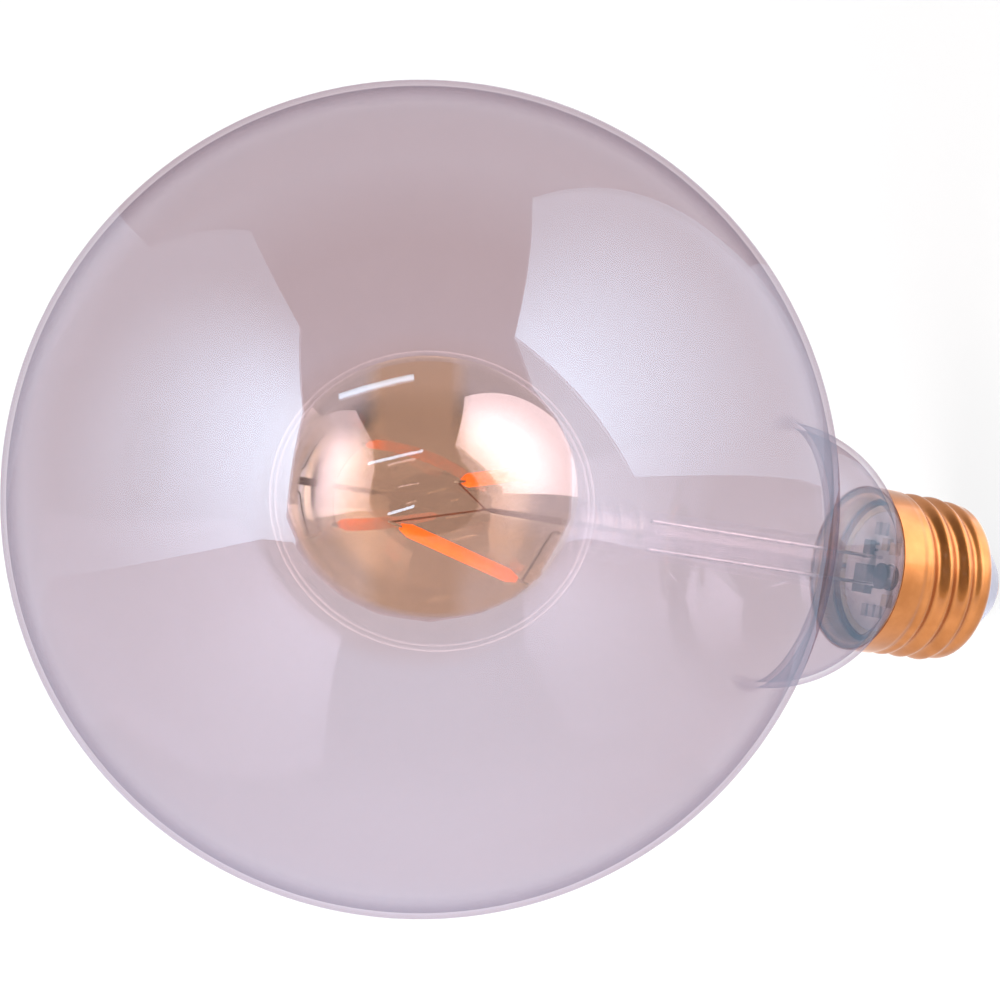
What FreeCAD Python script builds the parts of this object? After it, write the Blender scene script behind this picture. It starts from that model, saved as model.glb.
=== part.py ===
"""A decorative globe bulb: a large clear globe round a small amber ball with two LED filaments.

The bulb stands on its centre contact: the origin is the tip of the contact, +Z runs up the
bulb's axis to the crown of the globe, and the first filament stands in the XZ plane.
All sizes are in millimetres.
"""
import FreeCAD, Part
import math
import os

Vector = FreeCAD.Vector
AXIS = Vector(0, 0, 1)
ORIGIN = Vector(0, 0, 0)

# Driving dimensions of the glass
overall_length = 168.0
globe_diameter = 125.0
globe_wall = 0.9
neck_diameter = 42.2
neck_drop = 62.8
shoulder_fillet = 6.0
collar_fillet = 1.2
stub_radius = 11.6
stub_end = 22.6
ball_width = 45.0
ball_height = 50.0
ball_wall = 0.8
ball_drop = 2.0

# Driving dimensions of the stem
flare_radius = 10.6
stem_wall = 0.9
stem_top_radius = 3.6
stem_bottom_radius = 4.4
press_bottom = 68.0
press_top = 81.0
press_radius = 2.6

# Driving dimensions of the screw cap
cap_height = 25.9
collar_radius = 13.2
collar_length = 3.7
shell_wall = 0.3
thread_pitch = 3.629
thread_crest_radius = 13.1
thread_depth = 1.0
thread_bottom = 9.4
thread_crest_height = 13.9
lip_radius = 10.3
lip_height = 7.8
insulator_flange = 1.0
insulator_hole = 1.0
contact_radius = 4.7
contact_top = 1.8
button_radius = 2.0
button_base = 0.6

# Driving dimensions of the light source
filament_radius = 1.05
filament_tip_radius = 0.55
filament_crown_ends = {1: Vector(-4.5, 0, 108.1), 2: Vector(3.7, -9.0, 103.7)}
filament_base_ends = {1: Vector(-9.7, 0, 87.3), 2: Vector(6.6, 3.0, 86.2)}
tab_length = 2.2
tab_width = 0.8
tab_thickness = 0.3
strip_top = 94.8
lead_wire_offsets = {1: -1.7, 2: 1.7}
supply_wire_offsets = {1: -2.2, 2: 2.2}
lead_wire_radius = 0.2
supply_wire_radius = 0.3
hub_wire_radius = 0.15

# Driving dimensions of the driver
board_radius = 9.6
board_bottom = 20.4
board_thickness = 1.0
can_offset = -4.5
can_radius = 4.0
can_height = 9.4
can_gap = 0.4
bung_radius = 3.3
bung_depth = 1.2
resistor_offset = 1.2
resistor_length = 6.6
sleeve_rise = 0.2
sleeve_slot_width = 1.0

# Places worked out from them
globe_radius = globe_diameter / 2
globe_centre = overall_length - globe_radius
neck_radius = neck_diameter / 2
neck_centre = globe_centre - neck_drop
ball_radius = ball_width / 2
ball_centre = globe_centre - ball_drop
flare_bend = flare_radius - stem_bottom_radius
press_underside = press_bottom - 3.0
board_top = board_bottom + board_thickness
thread_top = cap_height - collar_length
shell_inner_root = thread_crest_radius - thread_depth - shell_wall


# Helpers for turned, bent and placed pieces
def point(radius, height):
    """A point of a turned profile, drawn in the XZ plane."""
    return Vector(radius, 0, height)


def arc(centre, radius, start, end):
    """An arc of a turned profile: angles in degrees, 0 points outward and 90 points up."""

    def at(angle):
        turn = math.radians(angle)
        return centre + point(radius * math.cos(turn), radius * math.sin(turn))

    return Part.Arc(at(start), at((start + end) / 2), at(end)).toShape()


def oval(centre, half_width, half_height, start, end):
    """An arc of an upright oval profile, its angles counted as those of an arc."""
    rising = 1 if end > start else -1
    pole = centre + point(0, -rising * half_height)
    side = centre + point(half_width, 0)
    first = math.radians(90 + rising * start)
    last = math.radians(90 + rising * end)
    return Part.ArcOfEllipse(Part.Ellipse(pole, side, centre), first, last).toShape()


def closed_face(*pieces):
    """The flat face inside a closed outline of points and arcs, joined by straight edges."""
    edges = []
    ends = []
    for piece in pieces:
        if isinstance(piece, Vector):
            ends.append((piece, piece))
        else:
            first = piece.valueAt(piece.FirstParameter)
            last = piece.valueAt(piece.LastParameter)
            ends.append((first, last))
    for number, piece in enumerate(pieces):
        if not isinstance(piece, Vector):
            edges.append(piece)
        here = ends[number][1]
        following = ends[(number + 1) % len(pieces)][0]
        if here.distanceToPoint(following) > 1e-6:
            edges.append(Part.LineSegment(here, following).toShape())
    return Part.Face(Part.Wire(Part.__sortEdges__(edges)))


def turned(*pieces):
    """A solid of revolution about Z from its closed half profile."""
    return closed_face(*pieces).revolve(ORIGIN, AXIS, 360)


def rod(start, end, radius):
    """A straight round rod between two points."""
    return Part.makeCylinder(radius, start.distanceToPoint(end), start, end - start)


def bent_wire(points, radius, bend):
    """A round wire through the points, with its corners bent to one radius."""
    edges = []
    here = points[0]
    for number in range(1, len(points) - 1):
        corner = points[number]
        before = (corner - points[number - 1]).normalize()
        after = (points[number + 1] - corner).normalize()
        turn = before.getAngle(after)
        reach = bend * math.tan(turn / 2)
        bend_start = corner - before * reach
        bend_end = corner + after * reach
        inward = (after - before).normalize()
        bend_centre = corner + inward * (bend / math.cos(turn / 2))
        bend_middle = bend_centre - inward * bend
        edges.append(Part.LineSegment(here, bend_start).toShape())
        edges.append(Part.Arc(bend_start, bend_middle, bend_end).toShape())
        here = bend_end
    edges.append(Part.LineSegment(here, points[-1]).toShape())
    section = Part.Wire(Part.makeCircle(radius, points[0], points[1] - points[0]))
    return Part.Wire(edges).makePipeShell([section], True, False)


def block(length, width, height, x, y, z):
    """A box centred on x and y, standing on z."""
    return Part.makeBox(length, width, height, Vector(x - length / 2, y - width / 2, z))


def aimed(shape, start, end):
    """The shape moved from the origin to start and turned from +Z towards end."""
    placed = shape.copy()
    placed.Placement = FreeCAD.Placement(start, FreeCAD.Rotation(AXIS, end - start))
    return placed


def trimmed(shape, neighbour):
    """The main body of a shape, cut to fit against a neighbour."""
    return max(shape.cut(neighbour).Solids, key=lambda solid: solid.Volume)


def group(solids):
    """Several like solids kept together as one piece."""
    return Part.makeCompound(solids)


# Glass
def fillet_centre():
    """Centre of the hollow bend between the globe and its neck."""
    to_globe = globe_radius + shoulder_fillet
    to_neck = neck_radius + shoulder_fillet
    below_globe = (to_globe**2 - to_neck**2 + neck_drop**2) / (2 * neck_drop)
    return point(math.sqrt(to_globe**2 - below_globe**2), globe_centre - below_globe)


def collar_bend_centre():
    """Centre of the hollow bend between the neck and the stub inside the cap."""
    out = stub_radius + collar_fillet
    down = math.sqrt((neck_radius + collar_fillet) ** 2 - out**2)
    return point(out, neck_centre - down)


def direction(start, end):
    """Angle of the line between two profile points, 0 outward and 90 up."""
    return math.degrees(math.atan2(end.z - start.z, end.x - start.x))


def globe_skin(inset):
    """The globe's profile from the crown down to the end of the stub, set in by a wall."""
    globe = point(0, globe_centre)
    neck = point(0, neck_centre)
    shoulder = fillet_centre()
    collar = collar_bend_centre()
    globe_to_shoulder = direction(globe, shoulder)
    neck_to_shoulder = direction(neck, shoulder)
    neck_to_collar = direction(neck, collar)
    return [
        arc(globe, globe_radius - inset, 90, globe_to_shoulder),
        arc(shoulder, shoulder_fillet + inset, globe_to_shoulder + 180, neck_to_shoulder + 180),
        arc(neck, neck_radius - inset, neck_to_shoulder, neck_to_collar),
        arc(collar, collar_fillet + inset, neck_to_collar + 180, 180),
        point(stub_radius - inset, stub_end),
    ]


def reversed_outline(pieces):
    """The same outline drawn the other way round."""
    turned_back = []
    for piece in reversed(pieces):
        if isinstance(piece, Vector):
            turned_back.append(piece)
        else:
            first = piece.valueAt(piece.FirstParameter)
            last = piece.valueAt(piece.LastParameter)
            middle = piece.valueAt((piece.FirstParameter + piece.LastParameter) / 2)
            turned_back.append(Part.Arc(last, middle, first).toShape())
    return turned_back


def outer_globe():
    """Blown globe, round-shouldered neck and the stub that sits in the cap."""
    return turned(*globe_skin(0), *reversed_outline(globe_skin(globe_wall)))


def inner_ball():
    """Blown amber ball, a little taller than wide, whose ringed neck sleeves the press."""
    neck_outer = 4.0
    neck_inner = neck_outer - ball_wall
    ring_count = 3
    ring_radius = 1.1
    ring_spacing = 3.4
    first_ring = press_bottom + 1.6
    ball = point(0, ball_centre)
    half_height = ball_height / 2
    inner_radius = ball_radius - ball_wall
    inner_half_height = half_height - ball_wall
    outer_angle = math.degrees(math.acos(neck_outer / ball_radius))
    inner_angle = math.degrees(math.acos(neck_inner / inner_radius))
    rings = []
    for number in range(ring_count):
        height = first_ring + number * ring_spacing
        rings.append(arc(point(neck_outer, height), ring_radius, 90, -90))
    rings.reverse()
    return turned(
        oval(ball, ball_radius, half_height, 90, -outer_angle),
        *rings,
        point(neck_outer, press_bottom),
        point(neck_inner, press_bottom),
        oval(ball, inner_radius, inner_half_height, -inner_angle, 90),
    )


def stem():
    """Flare, long tapered tube and solid press, drawn as one piece of glass."""
    rim_height = stub_end
    bend = point(flare_radius, rim_height + flare_bend)
    return turned(
        point(0, press_top),
        point(press_radius, press_top),
        point(press_radius, press_bottom),
        point(stem_top_radius, press_bottom),
        arc(bend, flare_bend, 180, 270),
        point(stub_radius, rim_height),
        point(stub_radius, rim_height - stem_wall),
        arc(bend, flare_bend + stem_wall, 270, 180),
        point(stem_top_radius - stem_wall, press_underside),
        point(0, press_underside),
    )


def exhaust_tube():
    """Thin pumping tube hanging from the press, its lower end melted shut."""
    outer = 1.6
    inner = 1.0
    tip_height = 24.6
    top = press_underside
    tip = point(0, tip_height + outer)
    return turned(
        point(outer, top),
        arc(tip, outer, 0, -90),
        arc(tip, inner, -90, 0),
        point(inner, top),
    )


# Light source
def filament(number):
    """A strip of light chips in a round phosphor coat with tapered ends."""
    taper = 1.6
    crown = filament_crown_ends[number]
    base = filament_base_ends[number]
    length = crown.distanceToPoint(base)
    coat = turned(
        point(0, 0),
        point(filament_tip_radius, 0),
        point(filament_radius, taper),
        point(filament_radius, length - taper),
        point(filament_tip_radius, length),
        point(0, length),
    )
    return aimed(coat, base, crown)


def past_end(end, other_end, distance):
    """The point that lies that far past one end of a filament, along its line."""
    return end + (end - other_end).normalize() * distance


def filament_tabs():
    """The four flat metal ends that the filaments are welded by."""
    tabs = []
    for number in (1, 2):
        crown = filament_crown_ends[number]
        base = filament_base_ends[number]
        for end, other_end in ((crown, base), (base, crown)):
            tab = block(tab_thickness, tab_width, tab_length, 0, 0, 0)
            tabs.append(aimed(tab, end, past_end(end, other_end, tab_length)))
    return group(tabs)


def hub_wire():
    """Thin link from one crown tab down to the tip of the strip and up to the other crown tab."""
    bend = 0.25
    weld_share = 0.9
    # The bend rounds this corner off, which brings the wire's underside onto the strip's tip.
    corner = Vector(0, 0.27, strip_top - 0.66)
    arms = []
    for number in (1, 2):
        crown = filament_crown_ends[number]
        base = filament_base_ends[number]
        arms.append(past_end(crown, base, tab_length * weld_share))
    wire = bent_wire([arms[0], corner, arms[1]], hub_wire_radius, bend)
    return trimmed(wire, filament_tabs())


def support_strip():
    """Flat pointed strip that stands on the press and carries the hub wire on its tip."""
    foot_width = 1.1
    neck_width = 0.8
    point_length = 1.8
    thickness = 0.35
    outline = [
        Vector(-foot_width / 2, -thickness / 2, press_top),
        Vector(foot_width / 2, -thickness / 2, press_top),
        Vector(neck_width / 2, -thickness / 2, strip_top - point_length),
        Vector(0, -thickness / 2, strip_top + 2 * hub_wire_radius),
        Vector(-neck_width / 2, -thickness / 2, strip_top - point_length),
    ]
    strip = closed_face(*outline).extrude(Vector(0, thickness, 0))
    return trimmed(strip, hub_wire())


def lead_wire(number):
    """Wire from the press out to the base tab of one filament."""
    bend = 0.9
    post_height = 1.2
    foot = Vector(lead_wire_offsets[number], 0, press_top)
    corner = foot + AXIS * post_height
    crown = filament_crown_ends[number]
    base = filament_base_ends[number]
    weld = past_end(base, crown, tab_length / 2)
    wire = bent_wire([foot, corner, weld], lead_wire_radius, bend)
    return trimmed(wire, filament_tabs())


def supply_wire(number):
    """Wire from the press down the stem tube to the driver board."""
    offset = supply_wire_offsets[number]
    bottom = Vector(offset, 0, board_top)
    top = Vector(offset, 0, press_underside)
    return rod(bottom, top, supply_wire_radius)


# Driver
def driver_board():
    """Round circuit board lying across the mouth of the cap."""
    notch_width = 2.4
    notch_depth = 0.8
    disc = Part.makeCylinder(board_radius, board_thickness, Vector(0, 0, board_bottom))
    notch = block(notch_width, 2 * notch_depth, board_thickness, 0, -board_radius, board_bottom)
    return disc.cut(notch)


def drum_inductor():
    """Dark drum-shaped coil: two round flanges with the winding between them."""
    flange = 2.1
    waist = 1.7
    height = 2.2
    edge = 0.4
    place = Vector(-0.7, -3.4, board_top)
    drum = turned(
        point(0, 0),
        point(flange, 0),
        point(flange, edge),
        point(waist, edge),
        point(waist, height - edge),
        point(flange, height - edge),
        point(flange, height),
        point(0, height),
    )
    drum.translate(place)
    return drum


def chip(length, width, height, x, y, leg_count):
    """A moulded chip with flat legs along its two long sides."""
    lift = 0.2
    leg_width = 0.4
    leg_reach = 0.8
    body = block(length, width, height - lift, x, y, board_top + lift)
    per_side = leg_count // 2
    step = length / per_side
    for number in range(per_side):
        leg_x = x - length / 2 + step * (number + 0.5)
        leg = block(leg_width, width + 2 * leg_reach, lift, leg_x, y, board_top)
        body = body.fuse(leg)
    return body.removeSplitter()


def row_of_chips(size, places):
    """Small ceramic chips of one size, laid flat on the board."""
    length, width, height = size
    return group([block(length, width, height, x, y, board_top) for x, y in places])


def smoothing_capacitor():
    """Electrolytic can hanging under the board, with the groove rolled over its bung."""
    groove_depth = 0.35
    groove_height = 1.2
    groove_drop = 1.4
    top = board_bottom - can_gap
    groove_top = top - groove_drop
    can = turned(
        point(0, top - can_height),
        point(can_radius, top - can_height),
        point(can_radius, groove_top - groove_height),
        point(can_radius - groove_depth, groove_top - groove_height / 2),
        point(can_radius, groove_top),
        point(can_radius, top),
        point(bung_radius, top),
        point(bung_radius, top - bung_depth),
        point(0, top - bung_depth),
    )
    can.translate(Vector(can_offset, 0, 0))
    return can


def capacitor_bung():
    """Rubber seal in the mouth of the electrolytic can, pressed against the board."""
    bottom = Vector(can_offset, 0, board_bottom - can_gap - bung_depth)
    return Part.makeCylinder(bung_radius, can_gap + bung_depth, bottom)


def film_capacitor():
    """Boxed capacitor under the board."""
    length = 4.0
    width = 7.6
    height = 7.2
    offset = 5.6
    corner_radius = 0.4
    box = block(length, width, height, offset, 0, board_bottom - height)
    return box.makeFillet(corner_radius, box.Edges)


def fuse_resistor():
    """Axial resistor standing under the board, bulged at both ends."""
    bulge = 1.25
    waist = 1.05
    bulge_length = 1.4
    taper_length = 0.4
    bottom = board_bottom - resistor_length
    body = turned(
        point(0, bottom),
        point(bulge, bottom),
        point(bulge, bottom + bulge_length),
        point(waist, bottom + bulge_length + taper_length),
        point(waist, board_bottom - bulge_length - taper_length),
        point(bulge, board_bottom - bulge_length),
        point(bulge, board_bottom),
        point(0, board_bottom),
    )
    body.translate(Vector(resistor_offset, 0, 0))
    return body


def board_sleeve():
    """Plastic sleeve in the cap, with the board's ledge and a slot for the side lead."""
    wall = 1.0
    fit_gap = 0.1
    ledge_width = 0.9
    ledge_height = 1.0
    inner = board_radius + fit_gap
    outer = inner + wall
    ledge = inner - ledge_width
    bottom = lip_height + shell_wall + insulator_flange
    top = board_top + sleeve_rise
    sleeve = turned(
        point(outer, bottom),
        point(outer, top),
        point(inner, top),
        point(inner, board_bottom),
        point(ledge, board_bottom),
        point(ledge, board_bottom - ledge_height),
        point(inner, board_bottom - ledge_height - ledge_width),
        point(inner, bottom),
    )
    slot = block(sleeve_slot_width, 3 * wall, top - board_bottom, 0, outer, board_bottom)
    return sleeve.cut(slot)


# Screw cap
def smooth_step(value):
    """0 below 0, 1 above 1 and an even rise between."""
    held = min(max(value, 0.0), 1.0)
    return held * held * (3 - 2 * held)


def thread_ring(height, inset):
    """A level slice of the rolled thread: a circle set off its axis by half the depth."""
    middle_radius = thread_crest_radius - thread_depth / 2
    run_out = 2.6
    fade_in = smooth_step((thread_top - height) / run_out)
    fade_out = smooth_step((height - thread_bottom) / run_out)
    radius = collar_radius + (middle_radius - collar_radius) * fade_in - inset
    offset = thread_depth / 2 * fade_in * fade_out
    turn = 2 * math.pi * (height - thread_crest_height) / thread_pitch
    centre = Vector(offset * math.cos(turn), offset * math.sin(turn), height)
    return Part.Wire(Part.makeCircle(radius, centre, AXIS))


def thread_core(inset):
    """The solid that the thread's rolled skin encloses."""
    slices_per_turn = 8
    count = round((thread_top - thread_bottom) / thread_pitch * slices_per_turn)
    rings = []
    for number in range(count + 1):
        height = thread_bottom + (thread_top - thread_bottom) * number / count
        rings.append(thread_ring(height, inset))
    return Part.makeLoft(rings, True, False)


def screw_shell():
    """Sheet brass shell: plain collar, rolled right-hand thread and a turned-in lip."""
    thread = thread_core(0).cut(thread_core(shell_wall))
    collar = turned(
        point(collar_radius, thread_top),
        point(collar_radius, cap_height),
        point(collar_radius - shell_wall, cap_height),
        point(collar_radius - shell_wall, thread_top),
    )
    end_radius = thread_crest_radius - thread_depth / 2
    curl = thread_bottom - lip_height
    curl_centre = point(end_radius - curl, thread_bottom)
    lip = turned(
        arc(curl_centre, curl, 0, -90),
        point(lip_radius, lip_height),
        point(lip_radius, lip_height + shell_wall),
        arc(curl_centre, curl - shell_wall, -90, 0),
    )
    return thread.fuse([collar, lip]).removeSplitter()


def basing_cement():
    """Cement that fills the gap between the collar and the glass stub."""
    collar_inner = collar_radius - shell_wall
    bend_centre = collar_bend_centre()
    glass_angle = direction(point(0, neck_centre), bend_centre)
    glass_bend = arc(bend_centre, collar_fillet, glass_angle + 180, 180)
    top = glass_bend.valueAt(glass_bend.FirstParameter).z
    return turned(
        point(stub_radius, thread_top),
        point(collar_inner, thread_top),
        point(collar_inner, top),
        glass_bend,
    )


def cap_insulator():
    """Pale insulating cone locked in the lip of the shell, with a seat for the contact."""
    seat_radius = 5.5
    seat_edge = 0.5
    flange_radius = 11.0
    flange_width = 2.4
    neck_drop_below_lip = 0.6
    cone_wall = 3.0
    flange_bottom = lip_height + shell_wall
    flange_top = flange_bottom + insulator_flange
    return turned(
        point(insulator_hole, contact_top),
        point(seat_radius, contact_top),
        point(seat_radius + seat_edge, contact_top + seat_edge),
        point(lip_radius, lip_height - neck_drop_below_lip),
        point(lip_radius, flange_bottom),
        point(flange_radius, flange_bottom),
        point(flange_radius, flange_top),
        point(flange_radius - flange_width, flange_top),
        point(insulator_hole, contact_top + cone_wall),
    )


def centre_contact():
    """Brass contact disc with a pierced, slightly raised middle."""
    face = 0.9
    raised_face = button_base
    raised_radius = 2.6
    slope_width = 0.6
    edge_radius = 0.5
    hole = 0.9
    return turned(
        point(hole, contact_top),
        point(hole, raised_face),
        point(raised_radius, raised_face),
        point(raised_radius + slope_width, face),
        arc(point(contact_radius - edge_radius, face + edge_radius), edge_radius, -90, 0),
        point(contact_radius, contact_top),
    )


def solder_button():
    """Tin button that closes the pierced contact round the lead."""
    sphere_radius = (button_radius**2 + button_base**2) / (2 * button_base)
    half_angle = math.degrees(math.asin(button_radius / sphere_radius))
    return turned(
        arc(point(0, sphere_radius), sphere_radius, -90, -90 + half_angle),
        point(0, button_base),
    )


def centre_lead():
    """Lead from the fuse resistor down the insulator's hole to the solder button."""
    radius = 0.3
    bend = 0.9
    upper_bend_height = 10.4
    lower_bend_height = 8.0
    return bent_wire(
        [
            Vector(resistor_offset, 0, board_bottom - resistor_length),
            Vector(resistor_offset, 0, upper_bend_height),
            Vector(0, 0, lower_bend_height),
            Vector(0, 0, button_base),
        ],
        radius,
        bend,
    )


def side_lead():
    """Thin lead from the board's edge through the sleeve's slot, pressed against the shell."""
    radius = 0.25
    bend = 0.45
    end_height = 13.0
    start_height = board_bottom + board_thickness / 2
    wall = shell_inner_root - radius
    wire = bent_wire(
        [
            Vector(0, board_radius - radius, start_height),
            Vector(0, wall, start_height),
            Vector(0, wall, end_height),
        ],
        radius,
        bend,
    )
    return trimmed(wire, driver_board())


# All pieces, written one to a file
rectifier = {"length": 4.6, "width": 3.4, "height": 1.7, "x": -1.5, "y": 2.9, "leg_count": 4}
regulator = {"length": 3.0, "width": 1.8, "height": 1.2, "x": 3.3, "y": 2.9, "leg_count": 6}
chip_resistor_size = (2.0, 1.2, 0.5)
chip_resistor_places = [(-6.4, 2.2), (-6.4, 0.2), (-6.4, -1.8), (6.8, 1.8), (6.8, -0.2)]
chip_capacitor_size = (2.0, 1.6, 1.1)
chip_capacitor_places = [(3.9, -4.1), (-4.5, -3.9), (4.4, -1.8)]

pieces = {
    "outer_globe": outer_globe(),
    "inner_ball": inner_ball(),
    "stem": stem(),
    "exhaust_tube": exhaust_tube(),
    "filament_1": filament(1),
    "filament_2": filament(2),
    "filament_tabs": filament_tabs(),
    "hub_wire": hub_wire(),
    "support_strip": support_strip(),
    "lead_wire_1": lead_wire(1),
    "lead_wire_2": lead_wire(2),
    "supply_wire_1": supply_wire(1),
    "supply_wire_2": supply_wire(2),
    "driver_board": driver_board(),
    "drum_inductor": drum_inductor(),
    "bridge_rectifier": chip(**rectifier),
    "current_regulator": chip(**regulator),
    "chip_resistors": row_of_chips(chip_resistor_size, chip_resistor_places),
    "chip_capacitors": row_of_chips(chip_capacitor_size, chip_capacitor_places),
    "smoothing_capacitor": smoothing_capacitor(),
    "capacitor_bung": capacitor_bung(),
    "film_capacitor": film_capacitor(),
    "fuse_resistor": fuse_resistor(),
    "board_sleeve": board_sleeve(),
    "screw_shell": screw_shell(),
    "basing_cement": basing_cement(),
    "cap_insulator": cap_insulator(),
    "centre_contact": centre_contact(),
    "solder_button": solder_button(),
    "centre_lead": centre_lead(),
    "side_lead": side_lead(),
}

os.makedirs("parts", exist_ok=True)
for name, shape in pieces.items():
    print(name, "solids", len(shape.Solids), "valid", shape.isValid(), "volume", round(shape.Volume, 2))
    shape.exportStep(f"parts/{name}.step")
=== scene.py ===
import bpy
import math
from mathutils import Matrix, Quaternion, Vector


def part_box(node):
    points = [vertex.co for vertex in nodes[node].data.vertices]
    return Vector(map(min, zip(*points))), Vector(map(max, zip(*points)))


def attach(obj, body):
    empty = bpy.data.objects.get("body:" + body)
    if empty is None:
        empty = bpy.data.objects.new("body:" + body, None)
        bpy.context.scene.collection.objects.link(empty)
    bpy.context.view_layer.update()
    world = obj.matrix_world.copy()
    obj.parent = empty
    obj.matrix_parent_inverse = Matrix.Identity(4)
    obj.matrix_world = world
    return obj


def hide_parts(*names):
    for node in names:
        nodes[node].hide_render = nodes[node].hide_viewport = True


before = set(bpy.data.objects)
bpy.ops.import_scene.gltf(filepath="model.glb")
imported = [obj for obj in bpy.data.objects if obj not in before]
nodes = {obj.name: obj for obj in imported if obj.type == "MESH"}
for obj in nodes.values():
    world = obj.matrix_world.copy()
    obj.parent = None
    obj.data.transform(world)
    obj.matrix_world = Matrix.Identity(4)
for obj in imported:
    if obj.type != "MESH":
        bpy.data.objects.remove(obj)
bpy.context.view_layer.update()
MM = 0.001

# Outer globe
# One large bulb of clear soda glass with a faint smoky pearl lustre, blown in a mould together
# with its round-shouldered neck, and sealed to the stem inside the collar of the cap.
globe_low, globe_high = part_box("outer_globe")
globe_radius = round((globe_high.x - globe_low.x) / 2 / MM, 1) * MM
globe_centre = globe_high.z - globe_radius
globe_wall = 0.9 * MM
neck_radius = 21.1 * MM
neck_centre = globe_centre - 62.8 * MM
shoulder_fillet = 6.0 * MM
collar_fillet = 1.2 * MM
stub_radius = 11.6 * MM
stub_end = globe_low.z


def swing(centre, radius, start, end, count, height=None):
    """Points along an arc or an oval of a half outline: angles in degrees, 0 outward and 90 up."""
    half_height = radius if height is None else height
    points = []
    for number in range(count + 1):
        angle = math.radians(start + (end - start) * number / count)
        out = radius * math.cos(angle)
        rise = half_height * math.sin(angle)
        points.append((centre[0] + out, centre[1] + rise))
    return points


def bearing(start, end):
    """Angle in degrees from one outline point to another, 0 outward and 90 up."""
    return math.degrees(math.atan2(end[1] - start[1], end[0] - start[0]))


def turned(name, outline, steps=128, crease=40):
    """A closed piece of revolution: its half outline is drawn point by point, then spun about Z."""
    bpy.ops.object.select_all(action="DESELECT")
    bpy.ops.mesh.primitive_plane_add(size=MM, location=(0, 0, 0))
    piece = bpy.context.object
    piece.name = name
    bpy.ops.object.mode_set(mode="EDIT")
    bpy.ops.mesh.select_all(action="SELECT")
    bpy.ops.mesh.merge(type="CENTER")
    bpy.ops.transform.translate(value=(outline[0][0], 0, outline[0][1]))
    for here, after in zip(outline, outline[1:]):
        step = (after[0] - here[0], 0, after[1] - here[1])
        bpy.ops.mesh.extrude_region_move(TRANSFORM_OT_translate={"value": step})
    bpy.ops.mesh.select_all(action="SELECT")
    bpy.ops.mesh.spin(steps=steps, angle=2 * math.pi, center=(0, 0, 0), axis=(0, 0, 1))
    bpy.ops.mesh.select_all(action="SELECT")
    bpy.ops.mesh.remove_doubles(threshold=1e-6)
    bpy.ops.mesh.normals_make_consistent(inside=False)
    bpy.ops.object.mode_set(mode="OBJECT")
    bpy.ops.object.shade_smooth_by_angle(angle=math.radians(crease))
    return piece


def globe_skin(inset):
    """The globe's half outline from the crown to the end of the stub, set in by a wall."""
    globe = (0, globe_centre)
    neck = (0, neck_centre)
    to_globe = globe_radius + shoulder_fillet
    to_neck = neck_radius + shoulder_fillet
    drop = globe_centre - neck_centre
    below = (to_globe**2 - to_neck**2 + drop**2) / (2 * drop)
    shoulder = (math.sqrt(to_globe**2 - below**2), globe_centre - below)
    out = stub_radius + collar_fillet
    collar = (out, neck_centre - math.sqrt((neck_radius + collar_fillet) ** 2 - out**2))
    at_shoulder = bearing(globe, shoulder)
    neck_to_shoulder = bearing(neck, shoulder)
    neck_to_collar = bearing(neck, collar)
    points = swing(globe, globe_radius - inset, 90, at_shoulder, 72)
    points += swing(shoulder, shoulder_fillet + inset, at_shoulder + 180, neck_to_shoulder + 180, 14)[1:]
    points += swing(neck, neck_radius - inset, neck_to_shoulder, neck_to_collar, 24)[1:]
    points += swing(collar, collar_fillet + inset, neck_to_collar + 180, 180, 8)[1:]
    points.append((stub_radius - inset, stub_end))
    return points


def new_material(name):
    """An empty node material: its tree and its output."""
    material = bpy.data.materials.new(name)
    material.use_nodes = True
    tree = material.node_tree
    tree.nodes.clear()
    output = tree.nodes.new("ShaderNodeOutputMaterial")
    return material, tree, output


def add(tree, kind, **values):
    """A node of that kind with values set on its sockets, spaces in their names as underscores."""
    node = tree.nodes.new(kind)
    for name, value in values.items():
        node.inputs[name.replace("_", " ")].default_value = value
    return node


def ramped(tree, value, start, end, low=0.0, high=1.0):
    """A value that goes from low at the start to high at the end, and holds beyond them."""
    scale = add(tree, "ShaderNodeMapRange", From_Min=start, From_Max=end, To_Min=low, To_Max=high)
    tree.links.new(value, scale.inputs["Value"])
    return scale.outputs["Result"]


def product(tree, first, second):
    """The product of two value outputs."""
    factor = tree.nodes.new("ShaderNodeMath")
    factor.operation = "MULTIPLY"
    tree.links.new(first, factor.inputs[0])
    tree.links.new(second, factor.inputs[1])
    return factor.outputs[0]


def along(tree, vector, axis):
    """How far a vector output reaches along an axis."""
    reach = tree.nodes.new("ShaderNodeVectorMath")
    reach.operation = "DOT_PRODUCT"
    reach.inputs[1].default_value = axis
    tree.links.new(vector, reach.inputs[0])
    return reach.outputs["Value"]


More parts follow.
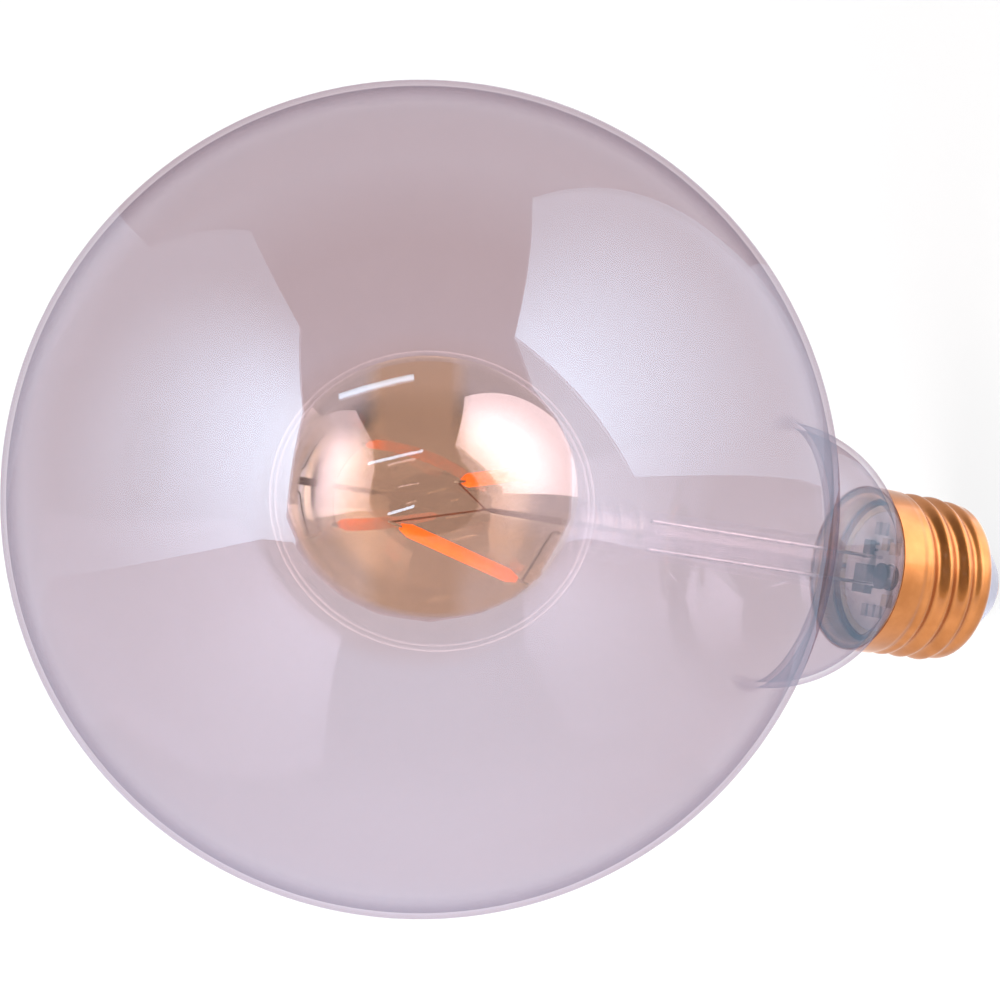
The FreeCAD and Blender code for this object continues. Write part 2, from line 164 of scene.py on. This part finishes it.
def thin_glass(name, through, mirror, face_share, rim_share, facing_span, ripple):
    """Thin blown glass: light passes tinted, and a share that grows towards the rim is mirrored."""
    material, tree, output = new_material(name)
    place = tree.nodes.new("ShaderNodeTexCoord")
    facing = add(tree, "ShaderNodeLayerWeight", Blend=0.5)
    depth = tree.nodes.new("ShaderNodeMix")
    depth.name = "depth"
    depth.data_type = "RGBA"
    depth.inputs["A"].default_value = (*through, 1)
    depth.inputs["B"].default_value = (*(value**2.0 for value in through), 1)
    tree.links.new(ramped(tree, facing.outputs["Facing"], 0.72, 0.9), depth.inputs["Factor"])
    clear = tree.nodes.new("ShaderNodeBsdfTransparent")
    tree.links.new(depth.outputs["Result"], clear.inputs["Color"])
    gloss = add(tree, "ShaderNodeBsdfGlossy", Color=(*mirror, 1), Roughness=0.0)
    waves = add(tree, "ShaderNodeTexNoise", Scale=22.0, Detail=0.0)
    bump = add(tree, "ShaderNodeBump", Strength=ripple, Distance=0.0004)
    tree.links.new(place.outputs["Object"], waves.inputs["Vector"])
    tree.links.new(waves.outputs["Fac"], bump.inputs["Height"])
    tree.links.new(bump.outputs["Normal"], gloss.inputs["Normal"])
    share = add(
        tree,
        "ShaderNodeMapRange",
        From_Min=facing_span[0],
        From_Max=facing_span[1],
        To_Min=face_share,
        To_Max=rim_share,
    )
    share.name = "share"
    share.interpolation_type = "SMOOTHSTEP"
    tree.links.new(facing.outputs["Facing"], share.inputs["Value"])
    mix = tree.nodes.new("ShaderNodeMixShader")
    mix.name = "glass"
    tree.links.new(share.outputs["Result"], mix.inputs["Fac"])
    tree.links.new(clear.outputs[0], mix.inputs[1])
    tree.links.new(gloss.outputs[0], mix.inputs[2])
    tree.links.new(mix.outputs[0], output.inputs["Surface"])
    return material


def add_haze(material, colour, part):
    """A faint milky lustre on the outer side of the near wall, which leaves the middle clear."""
    tree = material.node_tree
    facing = tree.nodes["Layer Weight"]
    milk = add(tree, "ShaderNodeBsdfDiffuse", Color=(*colour, 1))
    lustre = tree.nodes.new("ShaderNodeMixShader")
    wall_side = tree.nodes.new("ShaderNodeNewGeometry")
    outer_side = tree.nodes.new("ShaderNodeAttribute")
    outer_side.attribute_name = "outer_side"
    near_side = ramped(tree, wall_side.outputs["Backfacing"], 0.0, 1.0, part, 0.0)
    near_part = product(tree, outer_side.outputs["Fac"], near_side)
    outward = add(tree, "ShaderNodeMapRange", From_Min=0.06, From_Max=0.09)
    tree.links.new(facing.outputs["Facing"], outward.inputs["Value"])
    tree.links.new(near_part, outward.inputs["To Max"])
    tree.links.new(outward.outputs["Result"], lustre.inputs["Fac"])
    tree.links.new(tree.nodes["glass"].outputs[0], lustre.inputs[1])
    tree.links.new(milk.outputs[0], lustre.inputs[2])
    tree.links.new(lustre.outputs[0], tree.nodes["Material Output"].inputs["Surface"])


globe_outline = globe_skin(0) + list(reversed(globe_skin(globe_wall)))
blown_globe = turned("blown_globe", globe_outline, steps=192)
outer_side = blown_globe.data.attributes.new("outer_side", "FLOAT", "FACE")
for face, side in zip(blown_globe.data.polygons, outer_side.data):
    side.value = float(face.normal.x * face.center.x + face.normal.y * face.center.y > 0)
smoky_glass = thin_glass(
    "smoky_glass", (0.845, 0.772, 0.773), (0.58, 0.8, 1.0), 0.052, 0.1, (0.5, 1.0), 0.05
)
add_haze(smoky_glass, (0.45, 0.62, 0.9), 0.06)
blown_globe.data.materials.append(smoky_glass)
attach(blown_globe, "root")
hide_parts("outer_globe")

# Inner ball
# A small ball of amber half-mirrored glass, blown with a short clear neck that has rounded rings
# where it is fused over the press of the stem.
ball_low, ball_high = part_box("inner_ball")
ball_radius = 22.5 * MM
ball_half_height = 25.0 * MM
ball_centre = ball_high.z - ball_half_height
ball_wall = 0.8 * MM
ball_neck = 4.0 * MM
ring_radius = 1.1 * MM
ring_spacing = 3.4 * MM
ring_first = ball_low.z + 1.6 * MM
outer_angle = math.degrees(math.acos(ball_neck / ball_radius))
inner_angle = math.degrees(math.acos((ball_neck - ball_wall) / (ball_radius - ball_wall)))
ball_outline = swing((0, ball_centre), ball_radius, 90, -outer_angle, 60, ball_half_height)
for ring in (2, 1, 0):
    ball_outline += swing((ball_neck, ring_first + ring * ring_spacing), ring_radius, 90, -90, 12)
ball_outline += [(ball_neck, ball_low.z), (ball_neck - ball_wall, ball_low.z)]
inner_radius = ball_radius - ball_wall
inner_half_height = ball_half_height - ball_wall
ball_outline += swing((0, ball_centre), inner_radius, -inner_angle, 90, 60, inner_half_height)
coat_bottom = ball_low.z + 13 * MM
coat_top = ball_high.z - 2.5 * MM
# The camera's side and up directions over the ball's radius: they place the coat's reach and its painted
# reflection.
coat_across = Vector((0.156, -0.479, -0.864)) / ball_radius
coat_above = Vector((0.988, 0.076, 0.137)) / ball_radius
coat_centre = Vector((0, 0, ball_centre)) - coat_across * 0.1 * ball_radius**2
coat_lift = -0.22
coat_edge = (0.53, 0.55)
clear_share = 0.06
outline_share = 0.5


def add_coat(material):
    """An amber half-mirror on the glass, which leaves the neck, the crown and the rim clear.

    It reaches further out above the middle, and its mirror share is raised at the two ends of its upper
    part as the camera sees it: a painted reflection.
    """
    tree = material.node_tree
    place = tree.nodes["Texture Coordinate"]
    facing = tree.nodes["Layer Weight"].outputs["Facing"]
    share = tree.nodes["share"].outputs["Result"]
    split = tree.nodes.new("ShaderNodeSeparateXYZ")
    tree.links.new(place.outputs["Object"], split.inputs["Vector"])
    lower_end = ramped(tree, split.outputs["Z"], coat_bottom - MM, coat_bottom + MM)
    upper_end = ramped(tree, split.outputs["Z"], coat_top + MM, coat_top - MM)
    away = tree.nodes.new("ShaderNodeVectorMath")
    away.operation = "SUBTRACT"
    away.inputs[1].default_value = coat_centre
    tree.links.new(place.outputs["Object"], away.inputs[0])
    rise = along(tree, away.outputs["Vector"], coat_above)
    raised = tree.nodes.new("ShaderNodeMath")
    raised.operation = "MULTIPLY_ADD"
    raised.inputs[1].default_value = coat_lift
    tree.links.new(rise, raised.inputs[0])
    tree.links.new(facing, raised.inputs[2])
    inside = ramped(tree, raised.outputs[0], *coat_edge, 1.0, 0.0)
    coated = product(tree, product(tree, lower_end, upper_end), inside)
    both_sides = tree.nodes.new("ShaderNodeMath")
    both_sides.operation = "ABSOLUTE"
    tree.links.new(along(tree, away.outputs["Vector"], coat_across), both_sides.inputs[0])
    # Painted reflection: the mirror share is raised at the two ends of the ball's upper part, taken along
    # the camera's side and up directions.
    painted_reflection_sides = ramped(tree, both_sides.outputs[0], 0.22, 0.36, 0.05)
    painted_reflection_upper = ramped(tree, rise, -0.25, -0.05, 0.35)
    painted_reflection_part = product(tree, coated, product(tree, painted_reflection_sides, painted_reflection_upper))
    outline = ramped(tree, facing, 0.8, 0.95, clear_share, outline_share)
    thinned = tree.nodes.new("ShaderNodeMapRange")
    tree.links.new(painted_reflection_part, thinned.inputs["Value"])
    tree.links.new(outline, thinned.inputs["To Min"])
    tree.links.new(share, thinned.inputs["To Max"])
    tree.links.new(thinned.outputs["Result"], tree.nodes["glass"].inputs["Fac"])
    tint = tree.nodes.new("ShaderNodeMix")
    tint.data_type = "RGBA"
    tint.inputs["A"].default_value = (0.985, 0.985, 0.99, 1)
    tree.links.new(coated, tint.inputs["Factor"])
    tree.links.new(tree.nodes["depth"].outputs["Result"], tint.inputs["B"])
    tree.links.new(tint.outputs["Result"], tree.nodes["Transparent BSDF"].inputs["Color"])


amber_ball = turned("amber_ball", ball_outline, steps=128)
amber_glass = thin_glass(
    "amber_mirror_glass", (0.975, 0.92, 0.83), (0.97, 1.0, 1.0), 0.07, 0.85, (0.04, 0.3), 0.03
)
add_coat(amber_glass)
amber_ball.data.materials.append(amber_glass)
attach(amber_ball, "root")
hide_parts("inner_ball")

# Stem
# Clear drawn glass: a flare that closes the neck, a long tapered tube and a solid press that the
# wires are sealed in. The thin exhaust tube hangs inside it, melted shut at its lower end.
clear_glass = thin_glass(
    "stem_glass", (0.985, 0.985, 0.99), (0.95, 0.95, 1.0), 0.04, 0.2, (0.3, 1.0), 0.1
)
for name in ("stem", "exhaust_tube"):
    nodes[name].data.materials.clear()
    nodes[name].data.materials.append(clear_glass)


# Filaments
# Strips of light chips in a round coat of orange phosphor silicone with tapered ends, glowing.
# Their end tabs are welded to the hub wire at the crown and to the leads at the stem.
def glow_material():
    """Orange phosphor that glows, in two close tones."""
    material, tree, output = new_material("glowing_phosphor")
    place = tree.nodes.new("ShaderNodeTexCoord")
    grain = add(tree, "ShaderNodeTexNoise", Scale=900.0, Detail=3.0)
    tone = tree.nodes.new("ShaderNodeValToRGB")
    tone.color_ramp.elements[0].color = (1.0, 0.14, 0.01, 1)
    tone.color_ramp.elements[1].color = (1.0, 0.21, 0.02, 1)
    coat = add(tree, "ShaderNodeBsdfPrincipled", Roughness=0.5, Emission_Strength=2.0)
    tree.links.new(place.outputs["Object"], grain.inputs["Vector"])
    tree.links.new(grain.outputs["Fac"], tone.inputs["Fac"])
    tree.links.new(tone.outputs["Color"], coat.inputs["Base Color"])
    tree.links.new(tone.outputs["Color"], coat.inputs["Emission Color"])
    tree.links.new(coat.outputs[0], output.inputs["Surface"])
    return material


phosphor = glow_material()
for name in ("filament_1", "filament_2"):
    nodes[name].data.materials.clear()
    nodes[name].data.materials.append(phosphor)


# Wires
# Tabs, hub wire, strip and leads: plated steel, browned and oxidised nickel and tinned copper,
# welded at their crossings.
def metal(name, dark, light, roughness, grain_scale, bump_strength):
    """Worked metal: two close tones in a fine grain, with a slight bump."""
    material, tree, output = new_material(name)
    place = tree.nodes.new("ShaderNodeTexCoord")
    grain = add(tree, "ShaderNodeTexNoise", Scale=grain_scale, Detail=4.0)
    tone = tree.nodes.new("ShaderNodeValToRGB")
    tone.color_ramp.elements[0].color = (*dark, 1)
    tone.color_ramp.elements[0].position = 0.35
    tone.color_ramp.elements[1].color = (*light, 1)
    tone.color_ramp.elements[1].position = 0.65
    bump = add(tree, "ShaderNodeBump", Strength=bump_strength, Distance=0.00005)
    body = add(tree, "ShaderNodeBsdfPrincipled", Metallic=1.0, Roughness=roughness)
    tree.links.new(place.outputs["Object"], grain.inputs["Vector"])
    tree.links.new(grain.outputs["Fac"], tone.inputs["Fac"])
    tree.links.new(grain.outputs["Fac"], bump.inputs["Height"])
    tree.links.new(bump.outputs["Normal"], body.inputs["Normal"])
    tree.links.new(tone.outputs["Color"], body.inputs["Base Color"])
    tree.links.new(body.outputs[0], output.inputs["Surface"])
    return material


plated = metal("plated_steel", (0.5, 0.48, 0.45), (0.65, 0.63, 0.6), 0.3, 1500.0, 0.2)
browned = metal("browned_wire", (0.42, 0.27, 0.2), (0.52, 0.35, 0.27), 0.75, 1500.0, 0.2)
oxidised = metal("oxidised_wire", (0.06, 0.045, 0.04), (0.12, 0.09, 0.07), 0.4, 1500.0, 0.2)
brown_strip = metal("brown_strip", (0.09, 0.04, 0.02), (0.15, 0.07, 0.035), 0.55, 1500.0, 0.2)
tinned = metal("tinned_wire", (0.6, 0.6, 0.62), (0.8, 0.8, 0.82), 0.25, 1500.0, 0.2)
wire_finishes = {
    "filament_tabs": plated,
    "hub_wire": browned,
    "support_strip": brown_strip,
    "lead_wire_1": oxidised,
    "lead_wire_2": oxidised,
    "supply_wire_1": tinned,
    "supply_wire_2": tinned,
    "centre_lead": tinned,
    "side_lead": tinned,
}
for name, finish in wire_finishes.items():
    nodes[name].data.materials.clear()
    nodes[name].data.materials.append(finish)


# Driver
# A round board with a pale solder mask across the mouth of the cap, with moulded chips, ceramic
# chips and a drum coil soldered on top, and larger parts hanging under it.
def moulded(name, dark, light, roughness, grain_scale):
    """Moulded or fired material: two close tones in a soft grain."""
    material, tree, output = new_material(name)
    place = tree.nodes.new("ShaderNodeTexCoord")
    grain = add(tree, "ShaderNodeTexNoise", Scale=grain_scale, Detail=3.0)
    tone = tree.nodes.new("ShaderNodeValToRGB")
    tone.color_ramp.elements[0].color = (*dark, 1)
    tone.color_ramp.elements[0].position = 0.3
    tone.color_ramp.elements[1].color = (*light, 1)
    tone.color_ramp.elements[1].position = 0.7
    body = add(tree, "ShaderNodeBsdfPrincipled", Roughness=roughness)
    tree.links.new(place.outputs["Object"], grain.inputs["Vector"])
    tree.links.new(grain.outputs["Fac"], tone.inputs["Fac"])
    tree.links.new(tone.outputs["Color"], body.inputs["Base Color"])
    tree.links.new(body.outputs[0], output.inputs["Surface"])
    return material


driver_finishes = {
    "driver_board": moulded("solder_mask", (0.84, 0.83, 0.82), (0.92, 0.91, 0.9), 0.45, 260.0),
    "drum_inductor": moulded("ferrite", (0.012, 0.012, 0.018), (0.03, 0.03, 0.04), 0.35, 700.0),
    "bridge_rectifier": moulded("chip_resin", (0.12, 0.12, 0.12), (0.18, 0.18, 0.18), 0.5, 900.0),
    "chip_capacitors": moulded("chip_ceramic", (0.5, 0.42, 0.32), (0.6, 0.52, 0.42), 0.5, 900.0),
    "smoothing_capacitor": metal("drawn_can", (0.5, 0.5, 0.52), (0.62, 0.62, 0.64), 0.3, 900.0, 0.1),
    "capacitor_bung": moulded("bung_rubber", (0.01, 0.01, 0.01), (0.025, 0.025, 0.025), 0.7, 900.0),
    "film_capacitor": moulded("film_box", (0.5, 0.33, 0.05), (0.58, 0.4, 0.08), 0.35, 500.0),
    "fuse_resistor": moulded("resistor_enamel", (0.1, 0.2, 0.16), (0.14, 0.26, 0.2), 0.4, 700.0),
    "board_sleeve": moulded("sleeve_plastic", (0.8, 0.68, 0.46), (0.88, 0.76, 0.54), 0.5, 400.0),
    "basing_cement": moulded("cement", (0.68, 0.54, 0.32), (0.8, 0.66, 0.44), 0.8, 600.0),
}
driver_finishes["current_regulator"] = driver_finishes["bridge_rectifier"]
driver_finishes["chip_resistors"] = moulded("chip_glaze", (0.4, 0.4, 0.4), (0.5, 0.5, 0.5), 0.5, 900.0)
for name, finish in driver_finishes.items():
    nodes[name].data.materials.clear()
    nodes[name].data.materials.append(finish)

# Screw cap
# A shell of thin sheet brass with a plain collar, a rolled right-hand thread and a turned-in lip.
# A pale insulating cone closes its end and holds a pressed brass contact with a solder button.
cap_brass = metal("rolled_brass", (0.4, 0.142, 0.036), (0.48, 0.18, 0.052), 0.4, 300.0, 0.1)
lacquer = cap_brass.node_tree.nodes["Principled BSDF"]
lacquer.inputs["Coat Weight"].default_value = 0.4
lacquer.inputs["Coat Roughness"].default_value = 0.08
for name in ("screw_shell", "centre_contact"):
    nodes[name].data.materials.clear()
    nodes[name].data.materials.append(cap_brass)
nodes["cap_insulator"].data.materials.clear()
nodes["cap_insulator"].data.materials.append(
    moulded("pale_insulator", (0.22, 0.22, 0.31), (0.3, 0.3, 0.39), 0.4, 200.0)
)
nodes["solder_button"].data.materials.clear()
nodes["solder_button"].data.materials.append(tinned)

# Camera
# Seen from the crown's side, rolled so that the bulb lies with its cap to the right.
camera_distance = 580 * MM
tilt = math.radians(29.0)
roll = math.radians(81.0)
picture_size = 1000
globe_pixel = (421.0, 499.5)
globe_radius_pixels = 420.0
sensor_width = 36.0
focal_pixels = (
    globe_radius_pixels * math.sqrt(camera_distance**2 - globe_radius**2) / globe_radius
)
back = Vector((0, -math.cos(tilt), math.sin(tilt)))
turn = (-back).to_track_quat("-Z", "Y") @ Quaternion((0, 0, 1), -roll)
right = turn @ Vector((1, 0, 0))
up = turn @ Vector((0, 1, 0))
globe_point = Vector((0, 0, globe_centre))
shift_right = (picture_size / 2 - globe_pixel[0]) / focal_pixels * camera_distance
shift_up = (globe_pixel[1] - picture_size / 2) / focal_pixels * camera_distance
bpy.ops.object.camera_add(
    location=globe_point + back * camera_distance + right * shift_right + up * shift_up
)
camera = bpy.context.object
camera.name = "camera"
camera.rotation_mode = "QUATERNION"
camera.rotation_quaternion = turn
camera.data.sensor_width = sensor_width
camera.data.lens = focal_pixels * sensor_width / picture_size
camera.data.clip_start = 0.01
camera.data.clip_end = 50
bpy.context.scene.camera = camera


# Studio
# A white floor with cards and lamps that only the glass and the metal mirror: a softbox on each
# side and a fill card under the right one, a pale ceiling, a white table and three tube lamps. One
# more card lights the haze of the globe from below.
def lamp(name, brightest, edge, hot_point, reach, stretch=0.0):
    """A lamp's face, brightest at its hot point; a stretch makes it fade sooner up and down."""
    material, tree, output = new_material(name)
    place = tree.nodes.new("ShaderNodeTexCoord")
    away = tree.nodes.new("ShaderNodeVectorMath")
    away.operation = "SUBTRACT"
    away.inputs[1].default_value = hot_point
    raised = tree.nodes.new("ShaderNodeVectorMath")
    raised.operation = "SCALE"
    raised.inputs[0].default_value = up
    longer = tree.nodes.new("ShaderNodeVectorMath")
    longer.operation = "ADD"
    length = tree.nodes.new("ShaderNodeVectorMath")
    length.operation = "LENGTH"
    level = add(tree, "ShaderNodeMapRange", From_Max=reach, To_Min=brightest, To_Max=edge)
    level.interpolation_type = "SMOOTHSTEP"
    light = add(tree, "ShaderNodeEmission", Color=(1, 1, 1, 1))
    tree.links.new(place.outputs["Object"], away.inputs[0])
    rise = along(tree, away.outputs["Vector"], up * stretch)
    tree.links.new(rise, raised.inputs["Scale"])
    tree.links.new(away.outputs["Vector"], longer.inputs[0])
    tree.links.new(raised.outputs["Vector"], longer.inputs[1])
    tree.links.new(longer.outputs["Vector"], length.inputs[0])
    tree.links.new(length.outputs["Value"], level.inputs["Value"])
    tree.links.new(level.outputs["Result"], light.inputs["Strength"])
    tree.links.new(light.outputs[0], output.inputs["Surface"])
    return material


def in_view(x, y, z):
    """A point given from the globe's centre: right, up and towards the camera."""
    return globe_point + right * x + up * y + back * z


def mirrored(x, y, distance):
    """The point that a mirror ball shows at a place of its disc, given in parts of its radius."""
    depth = math.sqrt(max(1 - x * x - y * y, 0))
    return in_view(2 * depth * x * distance, 2 * depth * y * distance, (2 * depth**2 - 1) * distance)


def card(name, corners, material):
    """A stage card through its corners, which mirrors see and the camera doesn't."""
    bpy.ops.object.select_all(action="DESELECT")
    bpy.ops.mesh.primitive_circle_add(vertices=len(corners), radius=1, fill_type="NGON")
    sheet = bpy.context.object
    sheet.name = name
    for vertex, corner in zip(sheet.data.vertices, corners):
        vertex.co = corner
    sheet.data.materials.append(material)
    sheet.visible_camera = False
    sheet.visible_diffuse = False
    sheet.visible_shadow = False
    sheet.visible_transmission = False
    return sheet


# Outlines of the cards are places where a mirror ball shows them. Their edges near the middle
# follow the inner ball, so that no card veils it.
softbox_distance = 0.9
card_distance = 1.0
tube_distance = 0.8
right_outline = [(0.25, 0.68), (0.215, 0.36), (0.48, 0.05), (0.93, 0.03), (0.92, 0.3), (0.7, 0.6)]
right_face = lamp("softbox_right_face", 7.4, 2.6, mirrored(0.27, 0.2, softbox_distance), 1.1, 0.8)
card("softbox_right", [mirrored(x, y, softbox_distance) for x, y in right_outline], right_face)
left_outline = [(-0.5, 0.6), (-0.38, 0.6), (-0.26, 0.38), (-0.25, 0.19), (-0.28, 0.11), (-0.29, 0.03)]
left_outline += [(-0.285, -0.04), (-0.264, -0.09), (-0.27, -0.4), (-0.9, -0.4), (-0.93, 0.1)]
left_face = lamp("softbox_left_face", 8.0, 1.6, mirrored(-0.3, 0.1, softbox_distance), 0.95, 0.6)
card("softbox_left", [mirrored(x, y, softbox_distance) for x, y in left_outline], left_face)
fill_outline = [(0.215, 0.36), (0.48, 0.05), (0.93, 0.03), (0.9, -0.3), (0.5, -0.45), (0.25, -0.38)]
fill_outline += [(0.275, -0.157), (0.34, -0.04), (0.35, 0.03), (0.34, 0.11), (0.308, 0.18), (0.256, 0.244)]
fill_face = lamp("fill_card_face", 3.4, 1.3, mirrored(0.36, 0.12, card_distance), 0.8)
card("fill_card", [mirrored(x, y, card_distance) for x, y in fill_outline], fill_face)

ceiling_edge = [(-0.62, 0.57), (-0.45, 0.66), (-0.21, 0.73), (0.157, 0.742), (0.5, 0.68), (0.74, 0.54)]
ceiling_rim = [(-0.75, 0.65), (-0.56, 0.82), (-0.25, 0.96), (0.18, 0.97), (0.58, 0.8), (0.8, 0.58)]
ceiling_face = lamp("ceiling_face", 1.1, 1.1, mirrored(0, 0.8, card_distance), 1.0)
for number in range(len(ceiling_edge) - 1):
    places = ceiling_edge[number : number + 2] + ceiling_rim[number : number + 2][::-1]
    card(f"ceiling_{number + 1}", [mirrored(x, y, card_distance) for x, y in places], ceiling_face)

table_drop = -0.112
table_outline = [(-0.6, 0.53), (-0.6, -0.3), (0.5, -0.3), (0.5, 0.5), (0.39, 0.497), (0.196, 0.312)]
table_outline += [(0.114, 0.248), (0.063, 0.221), (0.012, 0.211), (-0.038, 0.225), (-0.084, 0.257)]
table_outline += [(-0.156, 0.329), (-0.322, 0.53)]
table_face = lamp("white_table_face", 2.3, 1.3, in_view(0.05, table_drop, 0.2), 0.3)
card("table_card", [in_view(x, table_drop, z) for x, z in table_outline], table_face)

glow_nearness = 0.2
glow_outline = [(-0.5, -0.7), (0.4, -0.7), (0.4, -0.2), (-0.5, -0.2)]
glow_face = lamp("table_glow_face", 12.0, 12.0, in_view(0, -0.5, glow_nearness), 1.0)
table_glow = card("table_glow", [in_view(x, y, glow_nearness) for x, y in glow_outline], glow_face)
table_glow.visible_glossy = False
table_glow.visible_diffuse = True

tubes = [((-0.17, 0.218), (-0.006, 0.262), 0.012), ((-0.105, 0.075), (0.014, 0.103), 0.006)]
tubes.append(((-0.062, -0.035), (-0.005, -0.018), 0.006))
for number, (start, end, width) in enumerate(tubes):
    corners = [start, end, (end[0], end[1] + width), (start[0], start[1] + width)]
    tube = lamp(f"tube_{number + 1}_face", 9.0, 9.0, mirrored(*start, tube_distance), 1.0)
    card(f"tube_{number + 1}", [mirrored(x, y, tube_distance) for x, y in corners], tube)

bpy.ops.object.select_all(action="DESELECT")
bpy.ops.mesh.primitive_plane_add(size=8, location=(0, 0, -0.0005))
floor = bpy.context.object
floor.name = "floor"
floor.visible_glossy = False
floor_material, tree, output = new_material("white_floor")
paint = add(tree, "ShaderNodeBsdfDiffuse", Color=(0.9, 0.9, 0.9, 1))
white = add(tree, "ShaderNodeEmission", Color=(1, 1, 1, 1), Strength=1.0)
blend = add(tree, "ShaderNodeMixShader", Fac=0.8)
tree.links.new(paint.outputs[0], blend.inputs[1])
tree.links.new(white.outputs[0], blend.inputs[2])
tree.links.new(blend.outputs[0], output.inputs["Surface"])
floor.data.materials.append(floor_material)

world = bpy.data.worlds.new("studio_room")
world.use_nodes = True
bpy.context.scene.world = world
tree = world.node_tree
background = tree.nodes["Background"]
background.inputs["Color"].default_value = (1, 1, 1, 1)
path = tree.nodes.new("ShaderNodeLightPath")
mirror_level = add(tree, "ShaderNodeMapRange", To_Min=1.0)
matt_level = add(tree, "ShaderNodeMapRange", To_Max=1.0)
way = tree.nodes.new("ShaderNodeTexCoord")
ahead = tree.nodes.new("ShaderNodeVectorMath")
ahead.operation = "DOT_PRODUCT"
ahead.inputs[1].default_value = back
backdrop = add(tree, "ShaderNodeMapRange", From_Min=0.3, From_Max=-0.8, To_Min=0.15, To_Max=2.0)
tree.links.new(way.outputs["Generated"], ahead.inputs[0])
tree.links.new(ahead.outputs["Value"], backdrop.inputs["Value"])
tree.links.new(backdrop.outputs["Result"], mirror_level.inputs["To Max"])
tree.links.new(path.outputs["Is Glossy Ray"], mirror_level.inputs["Value"])
tree.links.new(path.outputs["Is Diffuse Ray"], matt_level.inputs["Value"])
tree.links.new(mirror_level.outputs["Result"], matt_level.inputs["To Min"])
tree.links.new(matt_level.outputs["Result"], background.inputs["Strength"])

bpy.context.scene.view_settings.view_transform = "Standard"
light_paths = bpy.context.scene.cycles
light_paths.transparent_max_bounces = 28
light_paths.max_bounces = 6
light_paths.glossy_bounces = 5
light_paths.diffuse_bounces = 1
light_paths.light_sampling_threshold = 0.05
light_paths.caustics_reflective = False
light_paths.caustics_refractive = False
